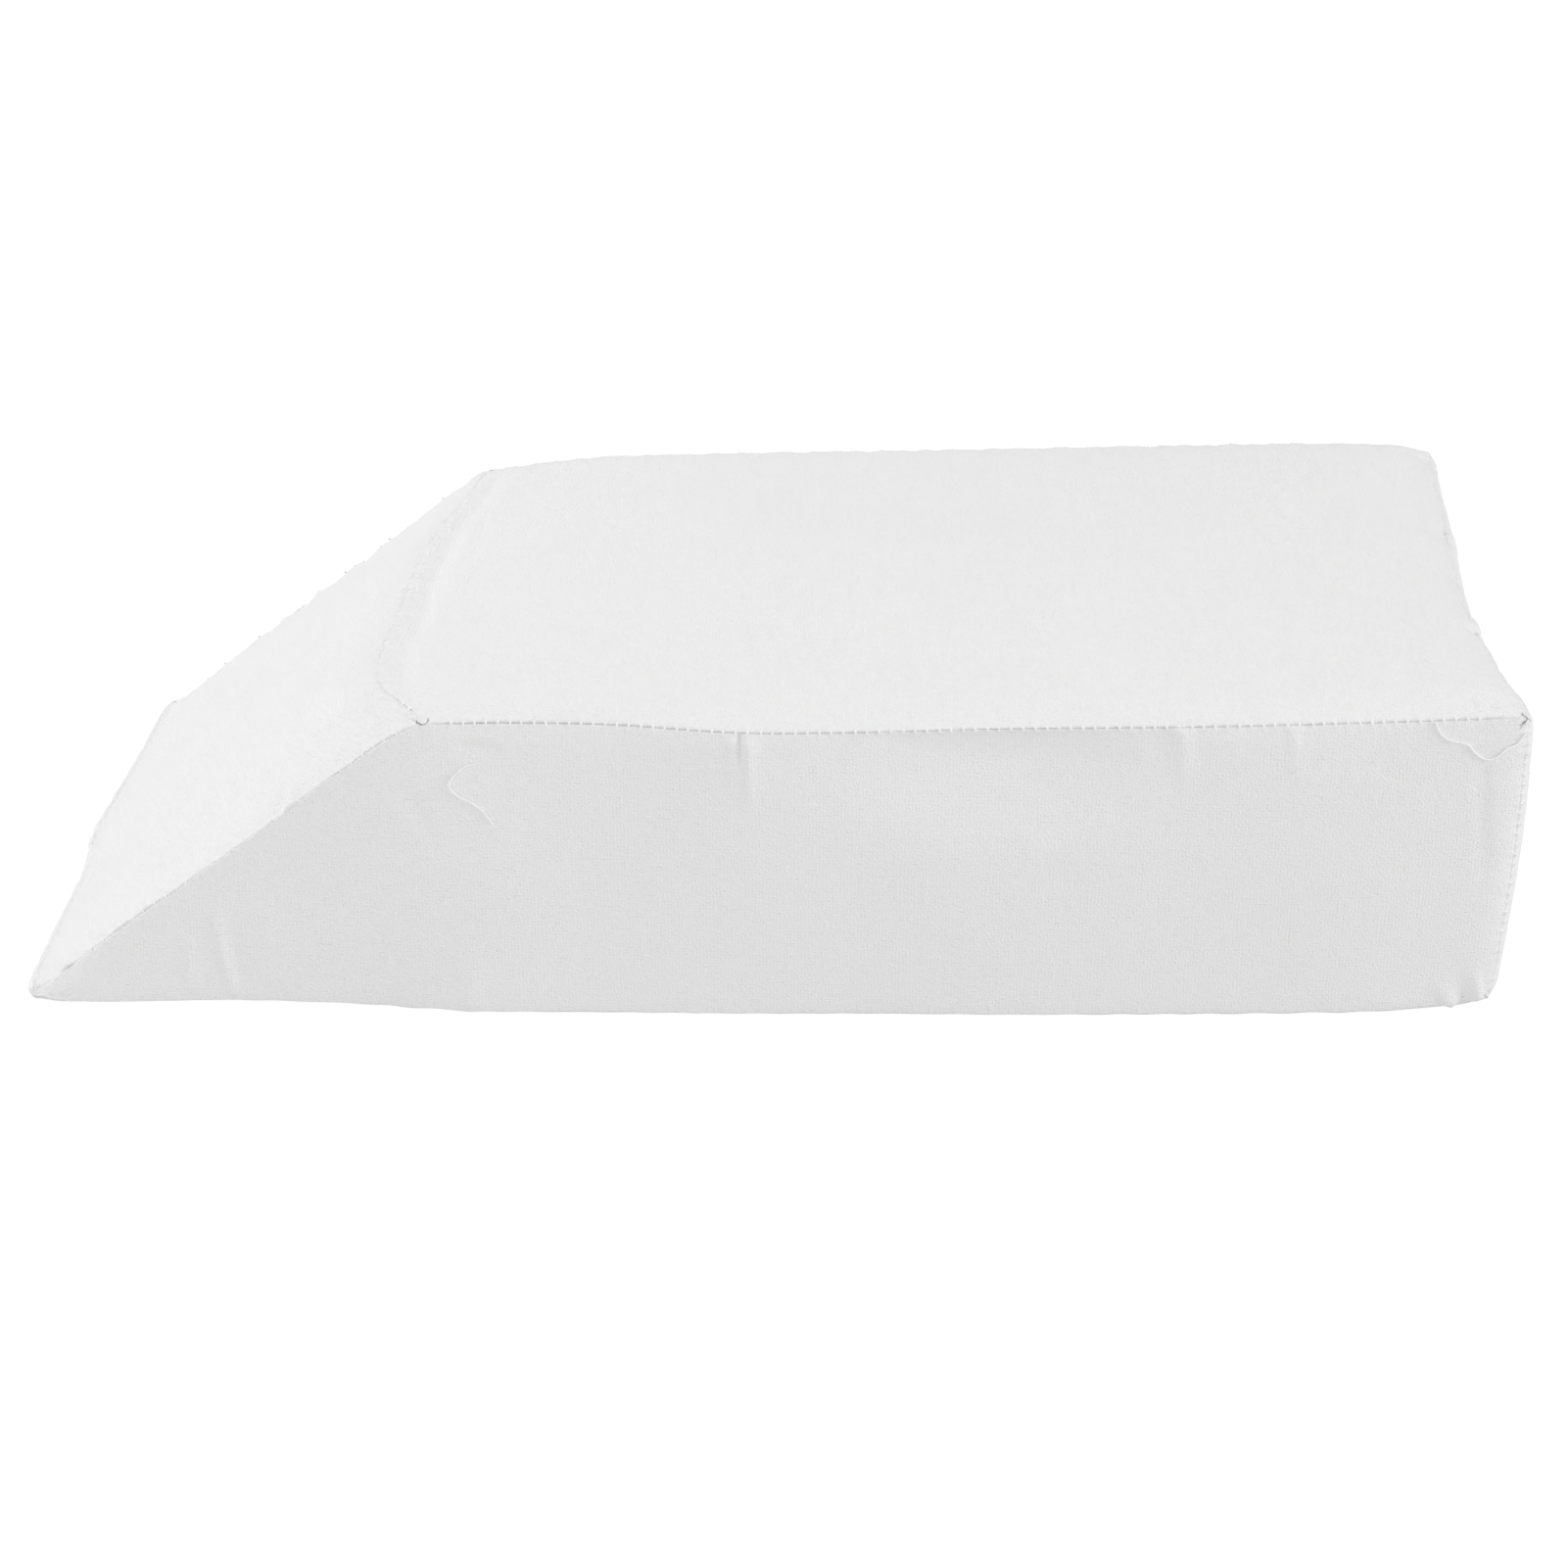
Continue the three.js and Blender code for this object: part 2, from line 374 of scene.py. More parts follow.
openStep, foldStep = pillow["openStep"], pillow["foldStep"]
wideStep, acrossFoldStep = pillow["wideStep"], pillow["acrossFoldStep"]
lowRows = rowsBetween(0, pillow["crestAt"], openStep, foldedStations, foldStep)
highRows = rowsBetween(pillow["crestAt"], pillow["length"], openStep, foldedStations, foldStep)
stationRows = np.concatenate([lowRows, highRows[1:]])
acrossRows = rowsBetween(0, pillow["width"], wideStep, foldedWidths, acrossFoldStep) / pillow["width"]
upRows = rowsBetween(0, pillow["height"], wideStep) / pillow["height"]


# Cuts every edge that runs along an axis, within a stretch of it
def cutAlong(mesh, axis, low, high, cuts):
    bpy.ops.object.mode_set(mode="OBJECT")
    places = np.empty(len(mesh.vertices) * 3)
    mesh.vertices.foreach_get("co", places)
    places = places.reshape(-1, 3)
    ends = np.empty(len(mesh.edges) * 2, int)
    mesh.edges.foreach_get("vertices", ends)
    first, second = places[ends[::2]], places[ends[1::2]]
    middle = (first[:, axis] + second[:, axis]) / 2
    chosen = (np.abs(first[:, axis] - second[:, axis]) > 0.01) & (middle > low) & (middle < high)
    mesh.vertices.foreach_set("select", np.zeros(len(mesh.vertices), bool))
    mesh.polygons.foreach_set("select", np.zeros(len(mesh.polygons), bool))
    mesh.edges.foreach_set("select", chosen)
    bpy.ops.object.mode_set(mode="EDIT")
    bpy.ops.mesh.subdivide(number_cuts=cuts)


# A box cut into the rows of the cover, its corners at 0 and 1
def addCutBox():
    deselectAll()
    bpy.ops.mesh.primitive_cube_add(size=1, location=(0.5, 0.5, 0.5))
    box = bpy.context.object
    box.name = "pillowCover"
    bpy.ops.object.transform_apply(location=True, rotation=True, scale=True)
    bpy.ops.object.mode_set(mode="EDIT")
    bpy.ops.mesh.select_mode(type="EDGE")
    bpy.ops.mesh.select_all(action="DESELECT")
    cutAlong(box.data, 0, 0, 1, 1)
    cutAlong(box.data, 0, 0, 0.5, len(lowRows) - 2)
    cutAlong(box.data, 0, 0.5, 1, len(highRows) - 2)
    cutAlong(box.data, 1, 0, 1, len(acrossRows) - 2)
    cutAlong(box.data, 2, 0, 1, len(upRows) - 2)
    bpy.ops.mesh.select_all(action="DESELECT")
    bpy.ops.object.mode_set(mode="OBJECT")
    return box


def readPoints(mesh):
    points = np.empty(len(mesh.vertices) * 3)
    mesh.vertices.foreach_get("co", points)
    return points.reshape(-1, 3)


def writePoints(mesh, points):
    mesh.vertices.foreach_set("co", points.astype(np.float32).ravel())
    mesh.update()


def keepValues(mesh, name, values):
    layer = mesh.attributes.get(name) or mesh.attributes.new(name, "FLOAT", "POINT")
    layer.data.foreach_set("value", values.astype(np.float32))


def readValues(mesh, name):
    values = np.empty(len(mesh.vertices), np.float32)
    mesh.attributes[name].data.foreach_get("value", values)
    return values.astype(float)


# Station and shares of the width and the height of each point of the cut box
def boxRows(mesh):
    places = readPoints(mesh)
    lowCount = len(lowRows) - 1
    highCount = len(highRows) - 1
    lowIndex = np.round(places[:, 0] * 2 * lowCount)
    highIndex = lowCount + np.round((places[:, 0] * 2 - 1) * highCount)
    stations = np.where(places[:, 0] < 0.5, lowIndex, highIndex).astype(int)
    widths = np.round(places[:, 1] * (len(acrossRows) - 1)).astype(int)
    heights = np.round(places[:, 2] * (len(upRows) - 1)).astype(int)
    return stationRows[stations], acrossRows[widths], upRows[heights]


cover = addCutBox()
at, across, up = boxRows(cover.data)
fullPoints = coverPoints(at, across, up, 1)
low = fullPoints.min(axis=0)
high = fullPoints.max(axis=0)
nodeLow, nodeHigh = (np.array(corner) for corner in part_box("pillow"))
shift = (nodeLow + nodeHigh) / 2 - (low + high) / 2
shift[2] = nodeLow[2] - low[2]
fullPoints = fullPoints + shift
slackPoints = coverPoints(at, across, up, pillow["slack"]) + shift
print("cover cut:", len(cover.data.vertices), "points; off the solid by",
      np.round((high + shift - nodeHigh) / millimetre, 2))


# Cloth of each panel laid out flat, in metres, for the weave
def layCloth(mesh, at, across, up):
    corners = np.empty(len(mesh.loops), int)
    mesh.loops.foreach_get("vertex_index", corners)
    faces = corners.reshape(-1, 4)
    x, y, z = (fullPoints / millimetre).T
    slope = math.hypot(pillow["crestAt"], pillow["height"]) / pillow["crestAt"]
    climbed = np.where(at < pillow["crestAt"], at * slope, at + pillow["crestAt"] * (slope - 1))
    laid = np.stack([climbed[faces], y[faces]], axis=-1)
    for rows, level, layout in (
        (up, 0, (x, y)),
        (across, 0, (x, z)),
        (across, 1, (x, z)),
        (at, 0, (y, z)),
        (at, pillow["length"], (y, z)),
    ):
        on = (rows[faces] == level).all(axis=1)
        laid[on] = np.stack([layout[0][faces[on]], layout[1][faces[on]]], axis=-1)
    cloth = mesh.uv_layers.new(name="clothFlat")
    cloth.data.foreach_set("uv", (laid * millimetre).astype(np.float32).ravel())


# Stuffing: the cover is blown up between its pinned seams, and no point moves past its cap
stuffing = {
    "pressure": 1.2,
    "frames": 16,
    "stretch": 18,            # how hard the cloth resists being pulled longer
    "shear": 6,
    "bending": 1.5,
    "clothWeight": 0.25,
    "airDamping": 2,
    "quality": 5,
    "cap": 1.5,               # farthest that a point moves beyond the full swell, in millimetres
    "share": 0.5,             # share of the blown shape in the result
}


def isSeam(at, across, up):
    ends = (at == 0) | (at == pillow["length"])
    sides = (across == 0) | (across == 1)
    levels = (up == 0) | (up == 1)
    meeting = ends.astype(int) + sides + levels
    return (meeting >= 2) | ((at == pillow["crestAt"]) & (up == 1))


# Where the cloth comes to lie when it is blown up from its slack shape
def blowUp(box, slackPoints, pinned):
    deselectAll()
    box.select_set(True)
    bpy.context.view_layer.objects.active = box
    bpy.ops.object.duplicate()
    blown = bpy.context.object
    writePoints(blown.data, slackPoints)
    group = blown.vertex_groups.new(name="pinned")
    group.add([int(index) for index in np.flatnonzero(pinned)], 1, "REPLACE")
    bpy.ops.object.modifier_add(type="CLOTH")
    cloth = blown.modifiers["Cloth"]
    settings = cloth.settings
    settings.quality = stuffing["quality"]
    settings.mass = stuffing["clothWeight"]
    settings.air_damping = stuffing["airDamping"]
    settings.tension_stiffness = stuffing["stretch"]
    settings.compression_stiffness = stuffing["stretch"]
    settings.shear_stiffness = stuffing["shear"]
    settings.bending_stiffness = stuffing["bending"]
    settings.use_pressure = True
    settings.uniform_pressure_force = stuffing["pressure"]
    settings.vertex_group_mass = "pinned"
    settings.effector_weights.gravity = 0
    cloth.collision_settings.use_collision = False
    cloth.point_cache.frame_start = 1
    cloth.point_cache.frame_end = stuffing["frames"]
    scene = bpy.context.scene
    for step in range(1, stuffing["frames"] + 1):
        scene.frame_set(step)
    bpy.ops.object.modifier_apply(modifier=cloth.name)
    points = readPoints(blown.data)
    bpy.ops.object.delete()
    scene.frame_set(1)
    return points


def stuffCover(box, slackPoints, fullPoints):
    pinned = isSeam(at, across, up) | (up == 0)
    moved = blowUp(box, slackPoints, pinned) - slackPoints
    reach = np.linalg.norm(moved, axis=1)
    cap = np.linalg.norm(fullPoints - slackPoints, axis=1) + stuffing["cap"] * millimetre
    held = moved * np.minimum(1, cap / np.maximum(reach, 1e-9))[:, None]
    return mix(fullPoints, slackPoints + held, stuffing["share"])


def smoothOnce(box):
    deselectAll()
    box.select_set(True)
    bpy.context.view_layer.objects.active = box
    bpy.ops.object.modifier_add(type="SUBSURF")
    finer = box.modifiers["Subdivision"]
    finer.levels = 1
    finer.render_levels = 1
    bpy.ops.object.modifier_apply(modifier=finer.name)
    bpy.ops.object.shade_smooth()


keepValues(cover.data, "station", at)
keepValues(cover.data, "across", across)
keepValues(cover.data, "up", up)
layCloth(cover.data, at, across, up)
shaped = stuffCover(cover, slackPoints, fullPoints)
writePoints(cover.data, shaped)
smoothOnce(cover)
print("cover stuffed:", len(cover.data.polygons), "faces")


# Seams: how deep each one is drawn in, how much it puckers, from where to where it is stitched, and
# how far it gapes, as shares at places along it
seams = {
    "nearTop":     {"depth": 0.85, "pucker": 0.14, "stitched": (149, 488),
                    "gape": ((140, 0), (152, 0.85), (240, 0.75), (488, 0.55), (498, 0))},
    "nearIncline": {"depth": 0.85, "pucker": 0.22, "stitched": (14, 132),
                    "gape": ((0, 0), (30, 0.35), (56, 0.35), (66, 0), (102, 0), (112, 0.4),
                             (130, 0.4), (138, 0))},
    "farTop":      {"depth": 1.0, "pucker": 0.4, "stitched": (147, 492), "gape": ((140, 0.6), (500, 0.6))},
    "farIncline":  {"depth": 0.9, "pucker": 0.9, "stitched": (12, 132), "gape": ((0, 0.3), (140, 0.4))},
    "crest":       {"depth": 0.9, "pucker": 0.3, "stitched": (9, 205),
                    "gape": ((3, 0), (9, 0.3), (18, 0.22), (34, 0), (190, 0), (211, 0.2))},
    "nearFoot":    {"depth": 0.7, "pucker": 0.12, "stitched": None, "gape": ((0, 0.2), (500, 0.2))},
    "farFoot":     {"depth": 0.7, "pucker": 0.12, "stitched": None, "gape": ((0, 0.2), (500, 0.2))},
    "endTop":      {"depth": 1.0, "pucker": 0.35, "stitched": None, "gape": ((0, 0), (211, 0))},
    "endFoot":     {"depth": 0.8, "pucker": 0.3, "stitched": None, "gape": ((0, 0.2), (211, 0.2))},
    "endNear":     {"depth": 0.85, "pucker": 0.16, "stitched": (9, 98),
                    "gape": ((0, 0.15), (40, 0.3), (70, 0.4), (98, 0.35), (108, 0))},
    "endFar":      {"depth": 1.1, "pucker": 0.25, "stitched": (9, 104), "gape": ((0, 0.4), (112, 0.5))},
    "noseTop":     {"depth": 0.3, "pucker": 0.3, "stitched": None, "gape": ((0, 0), (211, 0))},
    "noseFoot":    {"depth": 0.2, "pucker": 0.1, "stitched": None, "gape": ((0, 0.1), (211, 0.1))},
}
valley = {
    "halfWidth": 0.4,
    "closed": 0.35,           # share of its depth that a seam keeps where it doesn't gape
    "shoulder": 2.4,          # half width of the shallow dip on both sides of it
    "shoulderDepth": 0.3,
    "puckerPitch": 11,
    "puckerReach": 6,
}


# Distance of every point to each seam of its own panel, in millimetres, and the place along it
def seamDistances(at, across, up):
    near = across * pillow["width"]
    far = pillow["width"] - near
    upper = mix(along(at, "nearTop"), along(at, "farTop"), across)
    tall = upper - along(at, "foot")
    above = (1 - up) * tall
    below = up * tall
    toEnd = pillow["length"] - at
    height = up * pillow["height"]
    onTop, onFoot = up > 0.9999, up < 0.0001
    onNear, onFar = across < 0.0001, across > 0.9999
    onNose, onEnd = at < 0.001, toEnd < 0.001
    low = at < pillow["crestAt"]
    fromCrest = np.abs(at - pillow["crestAt"])
    return {
        "nearTop": (np.where(onTop, near, above), onTop & ~low | onNear & ~low, at),
        "nearIncline": (np.where(onTop, near, above), onTop & low | onNear & low, at),
        "farTop": (np.where(onTop, far, above), onTop & ~low | onFar & ~low, at),
        "farIncline": (np.where(onTop, far, above), onTop & low | onFar & low, at),
        "crest": (fromCrest, onTop, near),
        "nearFoot": (np.where(onFoot, near, below), onFoot | onNear, at),
        "farFoot": (np.where(onFoot, far, below), onFoot | onFar, at),
        "endTop": (np.where(onTop, toEnd, above), onTop | onEnd, near),
        "endFoot": (np.where(onFoot, toEnd, below), onFoot | onEnd, near),
        "endNear": (np.where(onNear, toEnd, near), onNear | onEnd, height),
        "endFar": (np.where(onFar, toEnd, far), onFar | onEnd, height),
        "noseTop": (np.where(onTop, at, above), onTop | onNose, near),
        "noseFoot": (np.where(onFoot, at, below), onFoot | onNose, near),
    }


# Uneven waves along a seam, the same on every run: how many lie over one another, how long they
# are as shares of the pitch, and what evens out their sum
waves = {"count": 6, "shortest": 0.6, "longest": 2.2, "evening": 2.5}


def unevenWaves(run, pitch, seed):
    draw = np.random.default_rng(seed)
    total = np.zeros(len(run))
    for turn in range(waves["count"]):
        wavelength = pitch * draw.uniform(waves["shortest"], waves["longest"])
        total += np.sin(2 * np.pi * run / wavelength + draw.uniform(0, 2 * np.pi))
    return total / waves["evening"]


def gapeAt(name, run):
    places, shares = zip(*seams[name]["gape"])
    return np.interp(run, places, shares)


# Depth to which a seam is drawn in at places along it, in millimetres
def drawnDepth(name, run):
    return seams[name]["depth"] * mix(valley["closed"], 1, gapeAt(name, run))


noSeam = 99.0    # the distance given to a seam that isn't on a point's own panel


# Height of the cloth's seam shapes above its stuffed surface in millimetres, the distance to the
# nearest seam, the place along it and how far it gapes there
def seamRelief(at, across, up):
    relief = np.zeros(len(at))
    nearest = np.full(len(at), noSeam)
    seamAt = np.zeros(len(at))
    gape = np.zeros(len(at))
    for order, (name, (distance, applies, run)) in enumerate(seamDistances(at, across, up).items()):
        gap = np.where(applies, distance, noSeam)
        depth = drawnDepth(name, run)
        drawn = depth * np.exp(-(gap / valley["halfWidth"]) ** 2)
        shoulder = valley["shoulderDepth"] * depth * np.exp(-(gap / valley["shoulder"]) ** 2)
        relief = np.minimum(relief, -drawn) - shoulder
        ripple = unevenWaves(run, valley["puckerPitch"], 40 + order)
        relief += seams[name]["pucker"] * ripple * np.exp(-(gap / valley["puckerReach"]) ** 2)
        closer = gap < nearest
        seamAt = np.where(closer, run, seamAt)
        gape = np.where(closer, gapeAt(name, run), gape)
        nearest = np.minimum(nearest, gap)
    return relief, nearest, seamAt, gape


# Folds, tucks and creases of the cover: where each starts and ends on its panel, how wide and how
# high it is (below the surface where negative), and whether it grows out of its start
folds = [
    {"panel": "near", "from": (244, 110), "to": (244, 99), "width": 0.9, "height": -2.6, "rooted": True},
    {"panel": "near", "from": (246.5, 108), "to": (247, 82), "width": 2.6, "height": 1.5, "rooted": True},
    {"panel": "near", "from": (241.5, 108), "to": (240, 92), "width": 2.4, "height": 0.77, "rooted": True},
    {"panel": "near", "from": (388, 110), "to": (390, 86), "width": 3.2, "height": 1, "rooted": True},
    {"panel": "near", "from": (382, 109), "to": (381, 96), "width": 2.5, "height": -0.88, "rooted": True},
    {"panel": "near", "from": (424, 110), "to": (427, 90), "width": 2.2, "height": 0.6, "rooted": True},
    {"panel": "near", "from": (486, 102), "to": (490, 52), "width": 1.6, "height": -0.75, "rooted": False},
    {"panel": "near", "from": (65, 82), "to": (70, 4), "width": 2.4, "height": 0.75, "rooted": False},
    {"panel": "near", "from": (70, 62), "to": (74, 8), "width": 2, "height": -0.4, "rooted": False},
    {"panel": "near", "from": (55, 70), "to": (57, 6), "width": 3, "height": 0.4, "rooted": False},
    {"panel": "near", "from": (84, 66), "to": (82, 12), "width": 3, "height": 0.35, "rooted": False},
    {"panel": "near", "from": (152, 3), "to": (152, 26), "width": 4, "height": 0.77, "rooted": True},
    {"panel": "near", "from": (486, 1), "to": (480, 12), "width": 1.6, "height": 1.54, "rooted": True},
    {"panel": "near", "from": (491, 1), "to": (487, 14), "width": 1.5, "height": -1.54, "rooted": True},
    {"panel": "near", "from": (496, 2), "to": (492, 16), "width": 1.5, "height": 1.32, "rooted": True},
    {"panel": "near", "from": (150, 104), "to": (166, 102), "width": 1.8, "height": -1.1, "rooted": False},
    {"panel": "near", "from": (132, 90), "to": (141, 72), "width": 2, "height": -0.55, "rooted": False},
    {"panel": "upper", "from": (90, 2), "to": (98, 13), "width": 1.4, "height": -1.05, "rooted": True},
    {"panel": "upper", "from": (94, 1), "to": (102, 12), "width": 1.6, "height": 0.9, "rooted": True},
    {"panel": "upper", "from": (22, 3), "to": (17.5, 13), "width": 1.2, "height": -1, "rooted": False},
    {"panel": "upper", "from": (17.5, 11), "to": (21, 28), "width": 1.2, "height": -1.1, "rooted": False},
    {"panel": "upper", "from": (25, 2), "to": (22, 14), "width": 1.8, "height": 1.05, "rooted": False},
    {"panel": "upper", "from": (13, 1), "to": (11, 12), "width": 1.6, "height": 1.05, "rooted": True},
    {"panel": "upper", "from": (9, 1), "to": (6, 10), "width": 1.2, "height": -1.05, "rooted": True},
    {"panel": "upper", "from": (33, 1), "to": (31, 11), "width": 2, "height": 0.75, "rooted": True},
    {"panel": "upper", "from": (42, 1), "to": (41, 9), "width": 1.8, "height": 0.6, "rooted": True},
    {"panel": "upper", "from": (57, 211), "to": (66, 196), "width": 1.8, "height": -1.2, "rooted": True},
    {"panel": "upper", "from": (66, 211), "to": (76, 192), "width": 2.2, "height": 1.05, "rooted": True},
    {"panel": "upper", "from": (139, 107), "to": (150, 100), "width": 1.2, "height": -0.9, "rooted": True},
    {"panel": "upper", "from": (139, 113), "to": (152, 108), "width": 1.3, "height": 0.75, "rooted": True},
    {"panel": "upper", "from": (139, 118), "to": (154, 115), "width": 1.2, "height": -0.9, "rooted": True},
    {"panel": "upper", "from": (139, 125), "to": (153, 124), "width": 1.4, "height": 0.68, "rooted": True},
    {"panel": "upper", "from": (139, 133), "to": (151, 134), "width": 1.4, "height": -0.68, "rooted": True},
    {"panel": "upper", "from": (140, 98), "to": (130, 92), "width": 1.2, "height": -0.6, "rooted": True},
    {"panel": "upper", "from": (140, 104), "to": (131, 101), "width": 1.2, "height": -0.6, "rooted": True},
    {"panel": "upper", "from": (500, 60), "to": (482, 57), "width": 1.2, "height": -1.05, "rooted": True},
    {"panel": "upper", "from": (500, 64), "to": (484, 63), "width": 1.3, "height": 0.9, "rooted": True},
    {"panel": "upper", "from": (500, 69), "to": (487, 70), "width": 1.2, "height": -0.75, "rooted": True},
    {"panel": "upper", "from": (500, 144), "to": (494, 126), "width": 4, "height": -1.35, "rooted": False},
    {"panel": "upper", "from": (498, 200), "to": (486, 196), "width": 2, "height": -1.05, "rooted": True},
    {"panel": "upper", "from": (499, 10), "to": (488, 20), "width": 2.4, "height": 0.6, "rooted": True},
    {"panel": "far", "from": (238, 114), "to": (241, 84), "width": 2.4, "height": 1.05, "rooted": True},
    {"panel": "far", "from": (243, 114), "to": (246, 96), "width": 1.4, "height": -1.35, "rooted": True},
    {"panel": "far", "from": (120, 90), "to": (128, 58), "width": 3, "height": 0.75, "rooted": True},
    {"panel": "far", "from": (395, 116), "to": (392, 88), "width": 2.6, "height": 0.9, "rooted": True},
    {"panel": "far", "from": (60, 44), "to": (62, 5), "width": 2.2, "height": 0.9, "rooted": False},
    {"panel": "far", "from": (470, 3), "to": (464, 30), "width": 2.4, "height": 0.75, "rooted": True},
    {"panel": "end", "from": (12, 6), "to": (26, 34), "width": 2.6, "height": 1.05, "rooted": True},
    {"panel": "end", "from": (200, 8), "to": (184, 38), "width": 2.8, "height": 1.05, "rooted": True},
    {"panel": "end", "from": (64, 112), "to": (68, 86), "width": 2, "height": -1.05, "rooted": True},
    {"panel": "end", "from": (70, 112), "to": (75, 82), "width": 2.2, "height": 1.05, "rooted": True},
    {"panel": "end", "from": (140, 112), "to": (134, 90), "width": 2.2, "height": 0.9, "rooted": True},
]


def foldRelief(at, across, up):
    near = across * pillow["width"]
    height = up * pillow["height"]
    panels = {
        "near": (across < 0.0001, at, height),
        "far": (across > 0.9999, at, height),
        "upper": (up > 0.9999, at, near),
        "end": (at > pillow["length"] - 0.001, near, height),
    }
    relief = np.zeros(len(at))
    for fold in folds:
        on, u, v = panels[fold["panel"]]
        (startU, startV), (endU, endV) = fold["from"], fold["to"]
        runU, runV = endU - startU, endV - startV
        length = math.hypot(runU, runV)
        part = ((u - startU) * runU + (v - startV) * runV) / length ** 2
        aside = ((u - startU) * runV - (v - startV) * runU) / length
        taper = (1 - share(part)) ** 0.8 if fold["rooted"] else np.sqrt(hump(part))
        beyond = np.maximum(-part, part - 1).clip(0) * length
        profile = np.exp(-(aside / fold["width"]) ** 2 - (beyond / fold["width"]) ** 2)
        relief += np.where(on, fold["height"] * taper * profile, 0)
    return relief


# Broad shapes: the ridge along the crest seam and the trough behind it, the soft unevenness of
# the stuffing, and the scalloped edge of the incline's far seam
broad = {
    "ridge": 0.6,
    "ridgeWidth": 2.5,
    "ridgeRise": 30,          # distance from the near side over which ridge and trough grow
    "trough": -1.7,
    "troughAt": 6,            # distance of the trough past the crest seam
    "troughWidth": 3.8,
    "unevenness": 0.35,
    "unevenPitch": 45,
    "scallop": 0.8,
    "scallopPitch": 11,
    "scallopReach": 6,
    "scallopDrift": 3,        # how far the scallops stray from an even pitch
    "scallopLevel": 0.6,
}


def broadRelief(points, at, across, up):
    near = across * pillow["width"]
    far = pillow["width"] - near
    past = at - pillow["crestAt"]
    top = up > 0.9999
    middle = hump(across) ** 0.5 * share(near / broad["ridgeRise"])
    relief = np.where(top, broad["ridge"] * middle * np.exp(-(past / broad["ridgeWidth"]) ** 2), 0)
    behind = np.exp(-((past - broad["troughAt"]) / broad["troughWidth"]) ** 2)
    relief += np.where(top, broad["trough"] * middle * behind, 0)
    scaled = points / (broad["unevenPitch"] * millimetre)
    uneven = np.array([noise.noise(Vector(place)) for place in scaled])
    relief += broad["unevenness"] * uneven * (up > 0.0001)
    low = top & (at < pillow["crestAt"])
    strayed = at + broad["scallopDrift"] * np.sin(at / 9)
    wave = np.abs(np.sin(np.pi * strayed / broad["scallopPitch"])) - broad["scallopLevel"]
    fringe = np.exp(-(far / broad["scallopReach"]) ** 2) * hump(at / pillow["crestAt"]) ** 0.4
    relief += np.where(low, broad["scallop"] * wave * fringe, 0)
    return relief


def readNormals(mesh):
    normals = np.empty(len(mesh.vertices) * 3, np.float32)
    mesh.vertex_normals.foreach_get("vector", normals)
    return normals.reshape(-1, 3).astype(float)


# Draws the seams and folds into the stuffed cover, and keeps its underside flat
def sculptCover(mesh):
    at, across, up = (readValues(mesh, name) for name in ("station", "across", "up"))
    points = readPoints(mesh)
    seamShape, nearest, seamAt, gape = seamRelief(at, across, up)
    relief = seamShape + foldRelief(at, across, up) + broadRelief(points, at, across, up)
    beneath = np.where(up < 0.0001, np.minimum(relief, 0) * (nearest < 2), relief)
    points = points + readNormals(mesh) * (beneath * millimetre)[:, None]
    points[:, 2] = np.maximum(points[:, 2], 0)
    writePoints(mesh, points)
    keepValues(mesh, "seamGap", nearest)
    keepValues(mesh, "seamAt", seamAt)
    keepValues(mesh, "seamGape", gape)


sculptCover(cover.data)
print("seams and folds drawn in")


# Cloth: fine plain weave in white, a little uneven, with painted shade deep in the seams
cloth = {
    "white": (0.955, 0.955, 0.95, 1),
    "shade": (0.86, 0.86, 0.865, 1),
    # colour of the painted shade deep in the seams
    "seamPaintedShade": (0.66, 0.66, 0.67, 1),
    "threads": 1700,          # threads to the metre
    "threadDistortion": 3.2,
    "threadDetail": 3,
    "threadDetailScale": 0.8,
    "weaveHeight": 0.00008,
    "slubHeight": 0.00048,
    "slubScale": 1300,
    "slubShare": 0.75,        # how much of the tint follows the slubs, and the rest the soft clouds
    "cloudScale": 26,
    "paintedShadeStart": 0.05,
    "paintedShadeHalfWidth": 0.55,
    "stitchPitch": 3.9,
    "gatherHeight": 0.0001,
    "gatherFrom": 0.4,        # distances from a seam between which its gathers die out
    "gatherTo": 3.2,
    "roughness": 0.95,
    "sheen": 0.12,
    "sheenRoughness": 0.6,
    "specular": 0.2,
}


class Nodes:
    # Small helper that adds nodes to a material and links them
    def __init__(self, material):
        self.tree = material.node_tree

    def add(self, kind, inputs=None, **settings):
        node = self.tree.nodes.new(kind)
        for name, value in settings.items():
            setattr(node, name, value)
        for name, value in (inputs or {}).items():
            if isinstance(value, bpy.types.NodeSocket):
                self.tree.links.new(value, node.inputs[name])
            else:
                node.inputs[name].default_value = value
        return node

    def math(self, operation, first, second=0.0):
        return self.add("ShaderNodeMath", {0: first, 1: second}, operation=operation).outputs[0]


